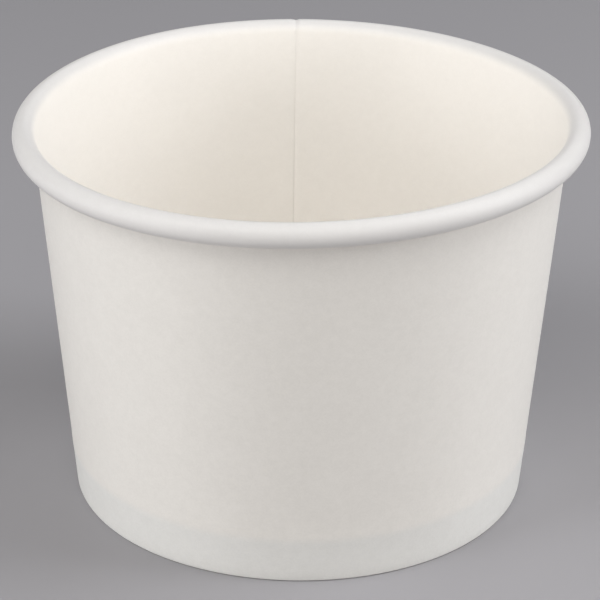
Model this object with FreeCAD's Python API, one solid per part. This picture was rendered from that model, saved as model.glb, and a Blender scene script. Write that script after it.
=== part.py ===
import FreeCAD, Part
import math
import os

# Paper sundae cup, made of two sheets of coated board. The side wall is one blank
# wrapped into a cone: its two ends lap at the back, its top edge is rolled outwards
# into the rim, and its bottom edge is folded in and up round the skirt of the bottom
# disc. Millimetres, +Z up, the origin on the floor at the middle of the foot.

# Outside of the cup
RIM_DIAMETER = 95.0        # over the rolled rim
CUP_HEIGHT = 66.2          # floor to the top of the rim
FOOT_DIAMETER = 77.2       # outside of the wall where its slope reaches the floor
RIM_ROLL_DIAMETER = 3.76   # thickness of the rolled rim

# The two boards
WALL_BOARD = 0.40
BOTTOM_BOARD = 0.35

# Foot: the folded-in hem of the wall and the bottom disc it holds
HEM_HEIGHT = 7.4           # floor to the hem's cut edge
RECESS_DEPTH = 8.4         # floor to the underside of the disc
FOLD_RADIUS = 0.06         # inside corners of the fold
BEND_RADIUS = 0.6          # inside of the bend from disc to skirt

# Side seam, at the back of the cup
LAP_WIDTH = 8.0            # where the blank's two ends lie one on the other
CLIMB_WIDTH = 0.6          # where the outer end steps out over the inner one
SEAM_AZIMUTH = 91.2        # degrees from +X to the edge that shows inside the cup

# Clearances
SEAL_GAP = 0.02            # film between two sealed sheets
ROLL_GAP = 0.05            # rolled edge to the outside of the wall
SKIRT_END_GAP = 0.15       # skirt's lower edge to the bottom of the fold

LAYERS_IN_LAP = 2
UP = FreeCAD.Vector(0, 0, 1)
FLOOR_CENTRE = FreeCAD.Vector(0, 0, 0)

# The wall's slope: its outside runs from the foot, tangent to the inside of the roll
roll_radius = RIM_ROLL_DIAMETER / 2
roll_centre = FreeCAD.Vector(RIM_DIAMETER / 2 - roll_radius, 0, CUP_HEIGHT - roll_radius)
foot_edge = FreeCAD.Vector(FOOT_DIAMETER / 2, 0, 0)
foot_to_roll = roll_centre - foot_edge
slope = (math.atan2(foot_to_roll.x, foot_to_roll.z)
         - math.asin((roll_radius - WALL_BOARD) / foot_to_roll.Length))
slope_degrees = math.degrees(slope)
up_the_wall = FreeCAD.Vector(math.sin(slope), 0, math.cos(slope))
out_of_wall = FreeCAD.Vector(math.cos(slope), 0, -math.sin(slope))

# The slot between wall and hem takes the skirt and a film on each side of it
slot_width = BOTTOM_BOARD + 2 * SEAL_GAP


def on_slope(distance_out, height):
    """Point at a height, on the line this far outside the wall's food face."""
    top = roll_centre + (distance_out - roll_radius) * out_of_wall
    return top + (height - top.z) / math.cos(slope) * up_the_wall


def on_circle(centre, radius, degrees):
    """Point on a circle that lies in the section plane."""
    turn = math.radians(degrees)
    return centre + radius * FreeCAD.Vector(math.cos(turn), 0, math.sin(turn))


def arc(centre, radius, start, end):
    """Arc in the section plane, between two directions in degrees."""
    ends_and_middle = [on_circle(centre, radius, angle) for angle in (start, (start + end) / 2, end)]
    return Part.Arc(*ends_and_middle).toShape()


def line(start, end):
    """Straight edge between two points."""
    return Part.LineSegment(start, end).toShape()


def closed_wire(edges):
    """One closed outline from edges that meet end to end."""
    return Part.Wire(Part.__sortEdges__(edges))


def swept_round(outline, start, turn):
    """Solid swept by an outline round the cup's axis, from start, in degrees."""
    solid = Part.Face(outline).revolve(FLOOR_CENTRE, UP, turn)
    solid.rotate(FLOOR_CENTRE, UP, start)
    return solid


def wall_outline(first_layer, last_layer):
    """Section of the wall's blank from its hem to its rolled edge.

    A layer is one thickness of board, counted from the food face outwards, so the
    lapped ends are layers 0 to 1 and 1 to 2. Whatever the layers, the fold stands on
    the floor.
    """
    near = first_layer * WALL_BOARD
    far = last_layer * WALL_BOARD
    wall_side = -slope_degrees
    hem_side = -180 - slope_degrees
    underside = -90

    roll_start = 180 - slope_degrees
    gap_to_wall = roll_radius - far - ROLL_GAP
    roll_end = roll_start - 360 + math.degrees(math.acos(gap_to_wall / (roll_radius - near)))

    edges = []
    hem_tops = []
    roll_ends = []
    for depth, corner in ((near, FOLD_RADIUS), (far, FOLD_RADIUS + WALL_BOARD)):
        fold_height = far - depth + corner
        outer_fold = on_slope(depth - corner, fold_height)
        inner_fold = on_slope(corner - depth - slot_width, fold_height)
        hem_foot = on_circle(inner_fold, corner, hem_side)
        hem_top = on_slope(-slot_width - depth, HEM_HEIGHT + depth * math.sin(slope))
        wall_foot = on_circle(outer_fold, corner, wall_side)
        wall_top = on_circle(roll_centre, roll_radius - depth, roll_start)
        edges.append(line(hem_top, hem_foot))
        edges.append(arc(inner_fold, corner, hem_side, underside))
        edges.append(line(on_circle(inner_fold, corner, underside),
                          on_circle(outer_fold, corner, underside)))
        edges.append(arc(outer_fold, corner, underside, wall_side))
        edges.append(line(wall_foot, wall_top))
        edges.append(arc(roll_centre, roll_radius - depth, roll_start, roll_end))
        hem_tops.append(hem_top)
        roll_ends.append(on_circle(roll_centre, roll_radius - depth, roll_end))
    edges.append(line(*roll_ends))
    edges.append(line(*hem_tops))
    return closed_wire(edges)


def make_side_wall():
    """The wrapped blank: a single sheet, the step at the seam, and the double lap."""
    seam_radius = on_slope(WALL_BOARD, CUP_HEIGHT / 2).x
    lap_turn = math.degrees(LAP_WIDTH / seam_radius)
    climb_turn = math.degrees(CLIMB_WIDTH / seam_radius)

    single = swept_round(wall_outline(0, 1), SEAM_AZIMUTH + climb_turn, 360 - lap_turn - climb_turn)
    lap = swept_round(wall_outline(0, LAYERS_IN_LAP), SEAM_AZIMUTH - lap_turn, lap_turn)

    climb_start = wall_outline(0, 1)
    climb_start.rotate(FLOOR_CENTRE, UP, SEAM_AZIMUTH + climb_turn)
    climb_end = wall_outline(1, LAYERS_IN_LAP)
    climb_end.rotate(FLOOR_CENTRE, UP, SEAM_AZIMUTH)
    climb = Part.makeLoft([climb_start, climb_end], True, True)
    return single.fuse([lap, climb]).removeSplitter()


def make_bottom_disc():
    """The bottom blank: a flat disc whose edge is turned down into a skirt."""
    skirt_end = LAYERS_IN_LAP * WALL_BOARD + SKIRT_END_GAP
    outer_face = -SEAL_GAP
    inner_face = -SEAL_GAP - BOTTOM_BOARD
    disc_top = RECESS_DEPTH + BOTTOM_BOARD
    bend_centre = on_slope(inner_face - BEND_RADIUS, RECESS_DEPTH - BEND_RADIUS)
    outer_bend = BEND_RADIUS + BOTTOM_BOARD
    skirt_side = -slope_degrees
    upwards = 90

    outer_end = on_slope(outer_face, skirt_end)
    inner_end = on_slope(inner_face, skirt_end)
    top_centre = FreeCAD.Vector(0, 0, disc_top)
    under_centre = FreeCAD.Vector(0, 0, RECESS_DEPTH)
    outline = closed_wire([
        line(top_centre, on_circle(bend_centre, outer_bend, upwards)),
        arc(bend_centre, outer_bend, upwards, skirt_side),
        line(on_circle(bend_centre, outer_bend, skirt_side), outer_end),
        line(outer_end, inner_end),
        line(inner_end, on_circle(bend_centre, BEND_RADIUS, skirt_side)),
        arc(bend_centre, BEND_RADIUS, skirt_side, upwards),
        line(on_circle(bend_centre, BEND_RADIUS, upwards), under_centre),
        line(under_centre, top_centre),
    ])
    return swept_round(outline, 0, 360)


os.makedirs("parts", exist_ok=True)
make_side_wall().exportStep("parts/side_wall.step")
make_bottom_disc().exportStep("parts/bottom_disc.step")
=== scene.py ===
from math import acos, asin, atan2, cos, degrees, hypot, pi, radians, sin, tan

import bmesh
import bpy
from mathutils import Euler, Matrix, Vector


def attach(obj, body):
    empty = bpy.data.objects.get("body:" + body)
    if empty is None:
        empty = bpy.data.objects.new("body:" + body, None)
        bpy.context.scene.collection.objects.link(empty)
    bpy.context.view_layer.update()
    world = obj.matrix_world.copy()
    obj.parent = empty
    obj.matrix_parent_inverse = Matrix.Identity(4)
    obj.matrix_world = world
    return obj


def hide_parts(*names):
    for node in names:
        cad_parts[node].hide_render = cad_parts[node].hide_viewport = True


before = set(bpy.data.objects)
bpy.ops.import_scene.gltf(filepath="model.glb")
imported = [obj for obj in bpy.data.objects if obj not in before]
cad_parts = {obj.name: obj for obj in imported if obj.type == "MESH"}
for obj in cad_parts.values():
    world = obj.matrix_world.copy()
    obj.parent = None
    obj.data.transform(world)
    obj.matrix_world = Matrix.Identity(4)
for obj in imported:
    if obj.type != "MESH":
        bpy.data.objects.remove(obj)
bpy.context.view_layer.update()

# The side wall: one blank of coated board, wrapped into a cone with its food side in.
# Its bottom edge is folded in and up as a hem, its top edge is rolled outwards into the
# rim, and its left end steps out over its right end at the back, where they are sealed.
mm = 0.001
rim_radius = 47.5 * mm
cup_height = 66.2 * mm
foot_radius = 38.6 * mm
roll_radius = 1.88 * mm
roll_stretch = 1.08          # the roll's height as a share of its width
roll_gap = 0.05 * mm         # from the rolled edge to the outside of the wall
wall_board = 0.40 * mm
hem_height = 7.4 * mm
slot_width = 0.39 * mm       # between wall and hem, for the disc's skirt
fold_corner = 0.06 * mm
fine_rows_foot = 5.5 * mm    # the rows lie closer where the wall passes over the hem
fine_rows_top = 10.5 * mm
roll_steps = 36

roll_x = rim_radius - roll_radius
roll_z = cup_height - roll_radius
slope = (atan2(roll_x - foot_radius, roll_z)
         - asin((roll_radius - wall_board) / hypot(roll_x - foot_radius, roll_z)))


def on_slope(distance_out, height):
    """Point at a height, on the line this far outside the wall's food face."""
    top_x = roll_x + (distance_out - roll_radius) * cos(slope)
    top_z = roll_z - (distance_out - roll_radius) * sin(slope)
    return Vector((top_x + (height - top_z) * tan(slope), 0, height))


hem_top = on_slope(-slot_width, hem_height)
inner_fold = on_slope(fold_corner - slot_width, wall_board + fold_corner)
outer_fold = on_slope(-fold_corner, wall_board + fold_corner)
hem_foot = on_slope(-slot_width, inner_fold.z + fold_corner * sin(slope))
wall_foot = on_slope(0, outer_fold.z + fold_corner * sin(slope))
under_fine_rows = on_slope(0, fine_rows_foot)
over_fine_rows = on_slope(0, fine_rows_top)
roll_centre = Vector((roll_x, 0, roll_z))
wall_top = roll_centre + roll_radius * Vector((-cos(slope), 0, sin(slope)))
roll_turn = 2 * pi - acos((roll_radius - wall_board - roll_gap) / roll_radius)


def start_section(name, place):
    """A new piece that is still one point, in edit mode, for its section to grow from."""
    bpy.ops.object.select_all(action="DESELECT")
    bpy.ops.mesh.primitive_plane_add(size=mm, location=place)
    bpy.ops.object.transform_apply()
    piece = bpy.context.object
    piece.name = name
    bpy.ops.object.mode_set(mode="EDIT")
    bpy.ops.mesh.select_mode(type="VERT")
    bpy.ops.mesh.merge(type="CENTER")
    return piece


def run_to(start, end, steps):
    """Lengthen the section in a straight line from its selected end."""
    for _ in range(steps):
        bpy.ops.mesh.extrude_region_move(TRANSFORM_OT_translate={"value": (end - start) / steps})


def bend_round(centre, turn, steps):
    """Carry the section's selected end on round a centre; down at the outside is plus."""
    bpy.ops.mesh.spin(steps=steps, angle=-turn, center=centre, axis=(0, 1, 0))


wall = start_section("side_wall_board", hem_top)
run_to(hem_top, hem_foot, steps=6)
bend_round(inner_fold, -(pi / 2 + slope), steps=4)
run_to(inner_fold, outer_fold, steps=1)
bend_round(outer_fold, -(pi / 2 - slope), steps=4)
run_to(wall_foot, under_fine_rows, steps=3)
run_to(under_fine_rows, over_fine_rows, steps=8)
run_to(over_fine_rows, wall_top, steps=14)
bend_round(roll_centre, roll_turn, roll_steps)


def pick(piece, wanted):
    """In edit mode, select just the vertices whose places pass a test."""
    bpy.ops.mesh.select_all(action="DESELECT")
    shape = bmesh.from_edit_mesh(piece.data)
    for vertex in shape.verts:
        vertex.select_set(wanted(vertex.co))
    shape.select_flush_mode()
    bmesh.update_edit_mesh(piece.data)


# The roll comes off its tool a little taller than it is wide
under_roll = roll_z - 1.2 * roll_radius
pick(wall, lambda place: place.z > roll_z or (
    place.z > under_roll and place.x > on_slope(wall_board, place.z).x))
bpy.ops.transform.resize(value=(1, 1, roll_stretch), center_override=roll_centre)

# Wrapped from the cut edge that ends up outside: its lap, the step down at the seam, the
# single wall all the way round, and the end under the lap, skived thin towards its edge.
# Turns round the cup are in degrees.
rib_pitch = 1.2              # from a rib of the knurled hem to the next hollow
lap_pitches = 9              # so that the lap is about 8 mm wide
lap_turn = lap_pitches * rib_pitch
lap_step = 0.42 * mm         # one board and the film between the two
step_turn = 0.4
step_reach = 0.52 * mm
skived_turn = 0.8
skiving = (0.75, 0.4, 0.15, 0.03)    # share of the board left, row by row to its edge
step_start = lap_turn - 0.75 * skived_turn
hair = 0.01                  # far less than from one row to the next


def round_cup(place):
    """Degrees round the cup's axis from +X, from just under 0 to just under 360."""
    turn = degrees(atan2(place.y, place.x))
    return turn if turn > -0.1 else turn + 360


def wrap_round(turn, steps):
    """Carry the selected section on round the cup's axis, anticlockwise from above."""
    bpy.ops.mesh.spin(steps=steps, angle=-radians(turn), center=(0, 0, 0), axis=(0, 0, 1))


def softly(move, reach, **amounts):
    """Make a move that dies away over this distance from what is selected."""
    move(use_proportional_edit=True, proportional_edit_falloff="SMOOTH",
         proportional_size=reach, **amounts)


wall.vertex_groups.new(name="board_left_by_skiving")
bpy.ops.mesh.select_all(action="SELECT")
bpy.ops.object.vertex_group_assign()
wrap_round(lap_turn - rib_pitch, steps=lap_pitches - 1)
wrap_round(rib_pitch - skived_turn, steps=1)
wrap_round(skived_turn, steps=len(skiving))
wrap_round(step_turn, steps=4)
wrap_round(rib_pitch - step_turn, steps=1)
pick(wall, lambda place: round_cup(place) < step_start + hair)
softly(bpy.ops.transform.shrink_fatten, step_reach, value=-lap_step)
pick(wall, lambda place: round_cup(place) > lap_turn + rib_pitch - hair)
wrap_round(360 - 2 * rib_pitch, steps=round(360 / rib_pitch) - 2)
wrap_round(rib_pitch - skived_turn, steps=1)
for board_left in skiving:
    wrap_round(skived_turn / len(skiving), steps=1)
    bpy.context.scene.tool_settings.vertex_group_weight = board_left
    bpy.ops.object.vertex_group_assign()

# In the lap the fold has two layers. Both are lifted by the step, so that the outer one
# stands on the floor and the inner one lies on it.
fold_top = 0.5 * mm
fold_reach = 0.7 * mm
pick(wall, lambda place: round_cup(place) < lap_turn + hair and place.z < fold_top)
softly(bpy.ops.transform.translate, fold_reach, value=(0, 0, lap_step))

# The groove that the sealing bar left along the seam's inner edge, from just over the
# hem, and how much deeper the roll pulls it
groove_foot = 9 * mm
groove_depth = 0.10 * mm
deeper_in_roll = 0.06 * mm
groove_reach = 0.75 * mm
for foot, depth in ((groove_foot, groove_depth), (roll_z, deeper_in_roll)):
    pick(wall, lambda place: abs(round_cup(place) - lap_turn) < hair and place.z > foot)
    softly(bpy.ops.transform.shrink_fatten, groove_reach, value=-depth)

# The roll stops two rows short where it meets two layers of wall instead of one
short_roll_turn = roll_turn * (1 - 1.5 / roll_steps)     # halfway between two rows
pick(wall, lambda place: (
    round_cup(place) < lap_turn + step_turn
    and abs(hypot(place.x, place.y) - roll_x) < roll_radius + lap_step
    and place.z > roll_z - 2 * roll_radius
    and atan2(place.z - roll_z, roll_x - hypot(place.x, place.y)) % (2 * pi)
    > short_roll_turn + slope))
bpy.ops.mesh.delete(type="VERT")

# The knurling of the hem, of which an eighth comes through to the outside of the wall
rib_foot = 1 * mm
rib_depth = 0.05 * mm
for side, depth in ((-1, rib_depth), (1, rib_depth / 8)):
    pick(wall, lambda place: (
        rib_foot < place.z < hem_height
        and side * (hypot(place.x, place.y) - on_slope(-slot_width / 2, place.z).x) > 0
        and abs(round_cup(place) / rib_pitch % 2 - 1) < 0.1))
    bpy.ops.transform.shrink_fatten(value=-depth)

# The swell where the wall passes over the top of the hem
swell_middle = 8 * mm
swell_depth = 0.05 * mm
swell_reach = 2.4 * mm
middle_row = 0.4 * mm        # takes in the row at the middle and no other
pick(wall, lambda place: abs(place.z - swell_middle) < middle_row)
softly(bpy.ops.transform.shrink_fatten, swell_reach, value=-swell_depth,
       use_proportional_connected=True)
bpy.ops.mesh.select_all(action="SELECT")
bpy.ops.mesh.normals_make_consistent(inside=True)
bpy.ops.object.mode_set(mode="OBJECT")


class Tone:
    """A value or colour in a board's finish. Operators add Math nodes, node() any other."""

    def __init__(self, finish, socket=None):
        self.finish = finish
        self.socket = socket

    def node(self, kind, settings, sockets, output=0):
        """One more node, its settings made first, as the Tone of one of its outputs."""
        tree = self.finish.node_tree
        made = tree.nodes.new("ShaderNode" + kind)
        for setting, value in settings.items():
            setattr(made, setting, value)
        for name, value in sockets.items():
            if isinstance(value, Tone):
                tree.links.new(value.socket, made.inputs[name])
            else:
                made.inputs[name].default_value = value
        return Tone(self.finish, made.outputs[output])

    def __add__(self, other):
        return self.node("Math", {"operation": "ADD"}, {0: self, 1: other})

    def __mul__(self, other):
        return self.node("Math", {"operation": "MULTIPLY"}, {0: self, 1: other})

    __radd__ = __add__
    __rmul__ = __mul__

    def rising(self, low, high):
        """0 below low and 1 above high, with a soft change between."""
        return self.node("MapRange", {"interpolation_type": "SMOOTHSTEP"},
                         {"Value": self, "From Min": low, "From Max": high})

    # A Mix node's colours go by number: 6 and 7 are what is mixed, and output 2 the result
    def blend(self, first, second):
        """From the first colour, where this value is 0, to the second, where it is 1."""
        return self.node("Mix", {"data_type": "RGBA"}, {0: self, 6: first, 7: second}, 2)

    def tinted(self, tint):
        """This colour as it looks under a tint."""
        return self.node("Mix", {"data_type": "RGBA", "blend_type": "MULTIPLY"},
                         {0: 1.0, 6: self, 7: tint}, 2)


def board_finish(name, light_tone, dark_tone, roughness, relief,
                 painted_shade_parts=lambda place, colour: colour):
    """Coated board: soft clouds of tone, and the fine grain of its fibres under the film, with any
    painted shade laid over its colour.
    """
    finish = bpy.data.materials.new(name)
    finish.use_nodes = True
    place = Tone(finish).node("TexCoord", {}, {}, "Object")

    def noise(size, detail):
        return place.node("TexNoise", {}, {"Vector": place, "Scale": 1 / size, "Detail": detail})

    clouds = noise(size=6 * mm, detail=2)
    mottle = noise(size=1.3 * mm, detail=3)
    grain = noise(size=0.35 * mm, detail=3)
    tone = (0.2 * clouds + 0.35 * mottle + 0.45 * grain).rising(low=0.3, high=0.7)
    height = 0.55 * grain + 0.45 * mottle
    varied = {
        "Base Color": painted_shade_parts(place, tone.blend(dark_tone, light_tone)),
        "Roughness": roughness - 0.05 + 0.1 * mottle,
        "Normal": height.node("Bump", {}, {"Height": height, "Strength": 1.0, "Distance": relief}),
    }
    shader = finish.node_tree.nodes["Principled BSDF"]
    for socket, value in varied.items():
        finish.node_tree.links.new(value.socket, shader.inputs[socket])
    return finish


def painted_rim_shade(place, colour):
    """Painted shade, darker and cooler, on the food side where it comes up over the crown of the
    roll, which gets less of the warm light bounced about inside the cup.
    """
    past_crown = place.node("Attribute", {"attribute_name": "over_crown"}, {}, "Fac")
    rim_shade_tint = (0.825, 0.833, 0.855, 1)
    return past_crown.rising(low=-1.2 * mm, high=0.5 * mm).blend(colour, colour.tinted(rim_shade_tint))


def painted_foot_shade(place, colour):
    """Painted shade, darker and cooler, on the outer side where the hem and the skirt lie behind
    it and let no light shine through the wall.
    """
    height = place.node("SeparateXYZ", {}, {"Vector": place}, "Z")
    foot_shade_tint = (0.958, 0.980, 0.998, 1)
    return height.rising(low=6.9 * mm, high=9.0 * mm).blend(colour.tinted(foot_shade_tint), colour)


# The outer side gets painted shade at its foot, and the food side gets painted shade over the roll
outer_side = board_finish(
    "outer_side_of_wall", light_tone=(0.912, 0.880, 0.823, 1), dark_tone=(0.862, 0.831, 0.775, 1),
    roughness=0.5, relief=0.02 * mm, painted_shade_parts=painted_foot_shade)
food_side = board_finish(
    "food_side_of_wall", light_tone=(0.964, 0.930, 0.878, 1), dark_tone=(0.934, 0.900, 0.848, 1),
    roughness=0.5, relief=0.01 * mm, painted_shade_parts=painted_rim_shade)
cut_edge = board_finish(
    "cut_board_edge", light_tone=(0.80, 0.775, 0.735, 1), dark_tone=(0.70, 0.675, 0.635, 1),
    roughness=0.8, relief=0.03 * mm)


def thicken(piece, board, side, finishes):
    """Give a sheet its board's thickness. Its finishes: outer side, food side, cut edges."""
    for finish in finishes:
        piece.data.materials.append(finish)
    sheet = piece.modifiers.new("board", "SOLIDIFY")
    sheet.thickness = board
    sheet.offset = side
    sheet.use_even_offset = True
    if piece.vertex_groups:
        sheet.vertex_group = piece.vertex_groups[0].name
    sheet.material_offset = 1
    sheet.material_offset_rim = 2
    bpy.ops.object.modifier_apply(modifier=sheet.name)


sharp_edge = radians(38)     # only bends tighter than this show an edge
thicken(wall, wall_board, side=1, finishes=(outer_side, food_side, cut_edge))
# How far each point is up and out over the crown of the roll, for the painted rim shade in the
# food side's finish
over_crown = wall.data.attributes.new("over_crown", "FLOAT", "POINT")
for vertex, entry in zip(wall.data.vertices, over_crown.data):
    out = hypot(vertex.co.x, vertex.co.y) - roll_x
    entry.value = (out + vertex.co.z - roll_z) / hypot(1, 1)
bpy.ops.object.shade_smooth_by_angle(angle=sharp_edge)

# The seam is turned to the back, and leans as if the blank were wrapped a little askew
seam_turn = 81.39            # degrees from +X to the cut edge outside
seam_lean = -0.52            # degrees of turn from the foot to the rim
wall.rotation_euler.z = radians(seam_turn)
bpy.ops.object.transform_apply(location=False)
lean = wall.modifiers.new("lean of the seam", "SIMPLE_DEFORM")
lean.deform_method = "TWIST"
lean.deform_axis = "Z"
lean.angle = radians(seam_lean)
bpy.ops.object.modifier_apply(modifier=lean.name)

# The rim of a paper cup is never quite flat or round. This one is 0.6 mm up at the front
# right and 0.6 mm down at the front left, and it is drawn out by 0.2 mm at the front left
# and the back right, and in by as much at the other two corners.
rise_all_round = 0.05 * mm
rise_to_right = 0.425 * mm
rise_to_back = 0.011 * mm
dip_on_diagonal = 0.666 * mm     # at the front left and back right, and up at the others
dip_at_sides = 0.123 * mm        # at the left and right, and up at the front and back
drawn_out = 0.198 * mm

bpy.ops.object.add(type="LATTICE", location=(0, 0, cup_height / 2))
warp = bpy.context.object
warp.name = "warp"
warp.data.points_u = warp.data.points_v = 5
warp.data.points_w = 2
warp.data.interpolation_type_u = "KEY_LINEAR"
warp.data.interpolation_type_v = "KEY_LINEAR"
warp.data.interpolation_type_w = "KEY_LINEAR"
warp.scale = (2 * rim_radius, 2 * rim_radius, cup_height)
bpy.context.view_layer.update()
for point in warp.data.points:
    right, back, up = (2 * point.co.x, 2 * point.co.y, point.co.z + 0.5)
    rise = (rise_all_round + rise_to_right * right + rise_to_back * back
            - dip_on_diagonal * right * back - dip_at_sides * (right ** 2 - back ** 2))
    point.co_deform = (point.co.x + up * drawn_out * back / (2 * rim_radius),
                       point.co.y + up * drawn_out * right / (2 * rim_radius),
                       point.co.z + up * rise / cup_height)


def warp_piece(piece):
    """Give a piece the warp of the whole cup."""
    bpy.ops.object.select_all(action="DESELECT")
    piece.select_set(True)
    bpy.context.view_layer.objects.active = piece
    follow = piece.modifiers.new("warp", "LATTICE")
    follow.object = warp
    bpy.ops.object.modifier_apply(modifier=follow.name)


warp_piece(wall)
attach(wall, "root")
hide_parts("side_wall")


# The bottom: one round blank of thinner board. Its edge is turned down into a skirt,
# which the wall's hem grips and is sealed to; the middle sags by a fraction of a mm.
bottom_board = 0.35 * mm
bottom_height = 8.75 * mm    # to the food side
bend_radius = 0.95 * mm      # of the food side, from disc to skirt
seal_gap = 0.02 * mm
skirt_foot = 0.95 * mm
bottom_sag = 0.25 * mm
sag_middle = 8 * mm          # radius of the part that sags by the whole of it
sag_reach = 28 * mm

bend_centre = on_slope(-seal_gap - bend_radius, bottom_height - bend_radius)
bottom_middle = Vector((0, 0, bottom_height))
bend_start = Vector((bend_centre.x, 0, bottom_height))
skirt_top = bend_centre + bend_radius * Vector((cos(slope), 0, -sin(slope)))

bottom = start_section("bottom_disc_board", bottom_middle)
run_to(bottom_middle, bend_start, steps=14)
bend_round(bend_centre, pi / 2 + slope, steps=6)
run_to(skirt_top, on_slope(-seal_gap, skirt_foot), steps=4)
bpy.ops.mesh.select_all(action="SELECT")
wrap_round(360, steps=150)
bpy.ops.mesh.select_all(action="SELECT")
bpy.ops.mesh.remove_doubles(threshold=0.001 * mm)
bpy.ops.mesh.normals_make_consistent(inside=False)
pick(bottom, lambda place: hypot(place.x, place.y) < sag_middle)
softly(bpy.ops.transform.translate, sag_reach, value=(0, 0, -bottom_sag))
bpy.ops.object.mode_set(mode="OBJECT")

both_sides = board_finish(
    "bottom_board", light_tone=(0.93, 0.897, 0.845, 1), dark_tone=(0.91, 0.877, 0.825, 1),
    roughness=0.55, relief=0.008 * mm)
thicken(bottom, bottom_board, side=-1, finishes=(both_sides, both_sides, cut_edge))
bpy.ops.object.shade_smooth_by_angle(angle=sharp_edge)
warp_piece(bottom)
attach(bottom, "root")
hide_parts("bottom_disc")
bpy.data.objects.remove(warp)


# The studio: a plain pale floor, soft boxes round the cup, and the camera at the
# photograph's angle.
bpy.ops.object.select_all(action="DESELECT")
bpy.ops.mesh.primitive_plane_add(size=6)
floor = bpy.context.object
floor.name = "floor"
floor_finish = bpy.data.materials.new("pale_floor")
floor_finish.use_nodes = True
floor_shader = floor_finish.node_tree.nodes["Principled BSDF"]
floor_shader.inputs["Base Color"].default_value = (0.366, 0.357, 0.370, 1)
floor_shader.inputs["Roughness"].default_value = 0.9
floor_shader.inputs["Specular IOR Level"].default_value = 0.1
floor.data.materials.append(floor_finish)

soft_boxes = {
    # degrees round from +X, degrees up, width in metres, power in watts
    "right_low": (350, 16, 0.35, 2.65),
    "right": (0, 52, 0.40, 2.2),
    "right_behind": (80, 40, 0.40, 0.8),
    "left_low": (180, 12, 0.30, 0.65),
    "left_front_low": (210, 12, 0.30, 1.8),
    "left_front": (207, 46, 0.40, 1.75),
    "front_left": (240, 45, 0.40, 0.6),
    "front_low": (270, 12, 0.30, 0.6),
    "front": (270, 50, 0.40, 0.75),
    "right_front": (330, 40, 0.40, 0.5),
}
box_distance = 0.8
aimed_at = Vector((0, 0, 0.033))
cool_light = (0.965, 0.975, 1.0)
warm_light = (1.0, 0.975, 0.93)
for name, (azimuth, elevation, width, power) in soft_boxes.items():
    turn, tilt = radians(azimuth), radians(elevation)
    direction = Vector((cos(turn) * cos(tilt), sin(turn) * cos(tilt), sin(tilt)))
    bpy.ops.object.light_add(type="AREA", location=aimed_at + box_distance * direction,
                             rotation=direction.to_track_quat("Z", "Y").to_euler())
    lamp = bpy.context.object
    lamp.name = "soft_box_" + name
    lamp.data.size = width
    lamp.data.energy = power
    lamp.data.color = warm_light if name.startswith("front") else cool_light

world = bpy.data.worlds.new("room")
bpy.context.scene.world = world
world.use_nodes = True
room_light = world.node_tree.nodes["Background"]
room_light.inputs["Color"].default_value = (1, 1, 1, 1)
room_light.inputs["Strength"].default_value = 0.08

camera_dip = 25.4            # degrees down from level
camera_roll = 0.485          # degrees round its own axis
aim = (Euler((radians(90 - camera_dip), 0, 0)).to_matrix()
       @ Matrix.Rotation(radians(camera_roll), 3, "Z"))
bpy.ops.object.camera_add(location=(0, -0.3993, 0.2218), rotation=aim.to_euler())
camera = bpy.context.object
camera.data.lens = 155.86
camera.data.sensor_width = 36
camera.data.clip_start = 0.01
bpy.context.scene.camera = camera
bpy.context.scene.view_settings.view_transform = "Standard"
